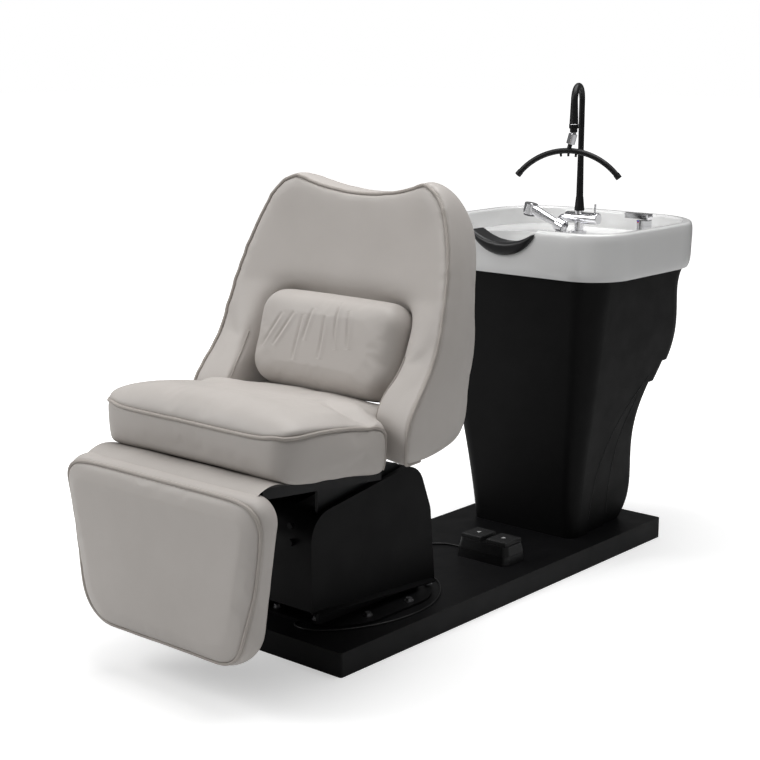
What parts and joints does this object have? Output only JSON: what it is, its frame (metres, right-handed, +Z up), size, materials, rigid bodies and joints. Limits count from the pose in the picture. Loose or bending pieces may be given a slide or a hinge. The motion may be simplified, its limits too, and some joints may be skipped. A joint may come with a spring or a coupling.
{
  "type": "backwash unit",
  "caption": "Salon backwash unit: reclining padded chair with legrest on a flat base plate, joined to a pedestal with a ceramic shampoo basin, mixer taps and an overhead spray hoop.",
  "frame": {"origin": "centre of the base plate's underside on the floor", "axes": "+X to the sitter's left, +Y from the legrest towards the basin, +Z up"},
  "size_m": [0.732, 1.8812, 1.3388],
  "materials": {
    "base_paint": "satin powder coat",
    "tower_paint": "satin powder coat",
    "frame_paint": "matte powder coat",
    "fastener_steel": "zinc plated",
    "shaft_steel": "turned",
    "bush_brass": "plain",
    "seat_leather": "fine grain",
    "back_leather": "fine grain",
    "pillow_leather": "fine grain, gathered",
    "legrest_leather": "fine grain",
    "ply": "stained plywood",
    "back_shell": "fine texture",
    "drive_rod": "ground",
    "drive_tube": "anodised",
    "drive_case": "moulded",
    "pedestal_plastic": "matte",
    "ceramic": "glazed white",
    "neck_rubber": "smooth",
    "chrome": "polished",
    "waste_plastic": "moulded",
    "column_black": "satin",
    "hoop_black": "satin",
    "spray_face": "moulded",
    "pedal_case": "moulded",
    "key_rubber": "textured",
    "cable_black": "jacket"
  },
  "bodies": {
    "base": {"base_tray": "base_paint", "base_floor_pan": "base_paint", "base_rails": "base_paint", "tower_foot_plate": "base_paint", "tower_side_panel_right": "tower_paint", "tower_side_panel_left": "tower_paint", "tower_wrap": "tower_paint", "tower_frame": "frame_paint", "seat_frame": "frame_paint", "tower_bolts": "fastener_steel", "recline_bushes": "bush_brass", "seat_cushion": "seat_leather", "seat_board": "ply", "recline_drive_tube": "drive_tube", "legrest_drive_tube": "drive_tube", "recline_drive_gearbox": "drive_case", "recline_drive_motor": "drive_case", "legrest_drive_gearbox": "drive_case", "legrest_drive_motor": "drive_case", "pedestal_shell": "pedestal_plastic", "pedestal_hatch": "pedestal_plastic", "basin": "ceramic", "neck_rest": "neck_rubber", "drain_flange": "chrome", "drain_strainer": "chrome", "diverter_body": "chrome", "diverter_spout": "chrome", "mixer_body": "chrome", "handset_cradle": "chrome", "waste_pipe": "waste_plastic", "pedal_base": "pedal_case", "pedal_cover": "pedal_case", "pedal_cable": "cable_black", "floor_cable": "cable_black", "cable_relief": "cable_black"},
    "backrest": {"backrest_cushion": "back_leather", "backrest_back_panel": "back_shell", "backrest_arms": "frame_paint", "recline_shaft": "shaft_steel", "recline_crank": "frame_paint", "lumbar_pillow": "pillow_leather"},
    "legrest": {"legrest_pad": "legrest_leather", "legrest_board": "ply", "legrest_arms": "frame_paint", "legrest_shaft": "shaft_steel", "legrest_lever": "frame_paint"},
    "recline_rod": {"recline_drive_rod": "drive_rod"},
    "legrest_rod": {"legrest_drive_rod": "drive_rod"},
    "column": {"column_collar": "column_black", "spa_column": "column_black", "column_nut": "column_black"},
    "hoop": {"hoop_stem": "chrome", "spray_hoop": "hoop_black"},
    "mixer_turn": {"mixer_cap": "chrome"},
    "mixer_handle": {"mixer_lever": "chrome"},
    "diverter_handle": {"diverter_knob": "chrome"},
    "handset": {"handset_body": "chrome", "handset_face": "spray_face"},
    "key_left": {"pedal_key_left": "key_rubber"},
    "key_right": {"pedal_key_right": "key_rubber"}
  },
  "joints": [
    {"name": "backrest_recline", "type": "hinge", "parent": "base", "child": "backrest", "pos_m": [0, -0.47, 0.478], "axis": [-1, 0, 0], "range_deg": [0, 42]},
    {"name": "legrest_lift", "type": "hinge", "parent": "base", "child": "legrest", "pos_m": [0, -0.96, 0.51], "axis": [-1, 0, 0], "range_deg": [0, 75.5]},
    {"name": "recline_rod_slide", "type": "slide", "parent": "base", "child": "recline_rod", "axis": [0, -0.9336, 0.3584], "range_m": [0, 0.10084]},
    {"name": "legrest_rod_slide", "type": "slide", "parent": "base", "child": "legrest_rod", "axis": [0, -1, 0], "range_m": [0, 0.09303]},
    {"name": "column_swivel", "type": "hinge", "parent": "base", "child": "column", "pos_m": [-0.014, 0.64, 1], "axis": [0, 0, 1], "range_deg": [-60, 60]},
    {"name": "hoop_swivel", "type": "hinge", "parent": "column", "child": "hoop", "pos_m": [0.01134, 0.56201, 1.18], "axis": [0, 0, 1], "range_deg": [-65, 65]},
    {"name": "mixer_turn", "type": "hinge", "parent": "base", "child": "mixer_turn", "pos_m": [0.208, 0.64, 0.94], "axis": [0, 0, 1], "range_deg": [-45, 45]},
    {"name": "mixer_lift", "type": "hinge", "parent": "mixer_turn", "child": "mixer_handle", "pos_m": [0.219, 0.64, 0.9642], "axis": [0, 1, 0], "range_deg": [0, 20]},
    {"name": "diverter_turn", "type": "hinge", "parent": "base", "child": "diverter_handle", "pos_m": [0.03, 0.64, 0.946], "axis": [1, 0, 0], "range_deg": [-45, 45]},
    {"name": "handset_lift", "type": "slide", "parent": "base", "child": "handset", "axis": [-0.9272, 0, 0.3746], "range_m": [0, 0.08]},
    {"name": "key_left_press", "type": "slide", "parent": "base", "child": "key_left", "axis": [0, 0, -1], "range_m": [0, 0.004], "stiffness_N_per_m": 1500, "springref_m": -0.003},
    {"name": "key_right_press", "type": "slide", "parent": "base", "child": "key_right", "axis": [0, 0, -1], "range_m": [0, 0.004], "stiffness_N_per_m": 1500, "springref_m": -0.003}
  ],
  "couplings": [
    {"joint": "legrest_lift", "follows": "backrest_recline", "ratio": 1.7857},
    {"joint": "recline_rod_slide", "follows": "backrest_recline", "m_per_rad": 0.13689},
    {"joint": "legrest_rod_slide", "follows": "backrest_recline", "m_per_rad": 0.12623}
  ]
}
